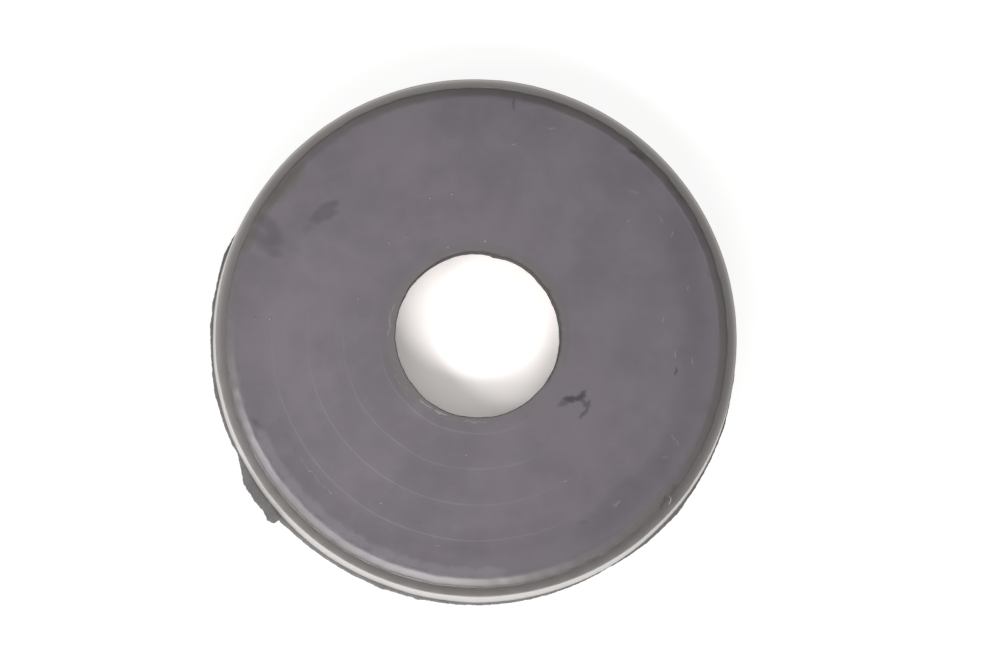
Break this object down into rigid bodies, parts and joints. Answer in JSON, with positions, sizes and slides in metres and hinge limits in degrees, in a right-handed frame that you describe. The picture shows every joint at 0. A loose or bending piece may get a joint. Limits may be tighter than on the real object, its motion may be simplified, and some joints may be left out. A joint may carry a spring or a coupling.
{
  "type": "rubber grommet",
  "caption": "Round moulded rubber grommet: a flat disc with a central hole, a soft shoulder, a lower lip round the rim and thin moulding flash at its base.",
  "frame": {"origin": "on the bore axis, in the plane of the foot ring that the disc rests on", "axes": "+Z along the bore axis, from the foot ring towards the raised face; +X to the right and +Y to the far side as the picture shows the disc, so the torn tag of flash is at 206 to 222 degrees round +Z from +X"},
  "size_m": [0.0616, 0.0611, 0.0043],
  "materials": {
    "rubber": "satin moulded rubber, faintly marked by turned tooling, with a glossier rim wall and a little dust"
  },
  "bodies": {
    "root": {"grommet": "rubber"}
  },
  "joints": []
}
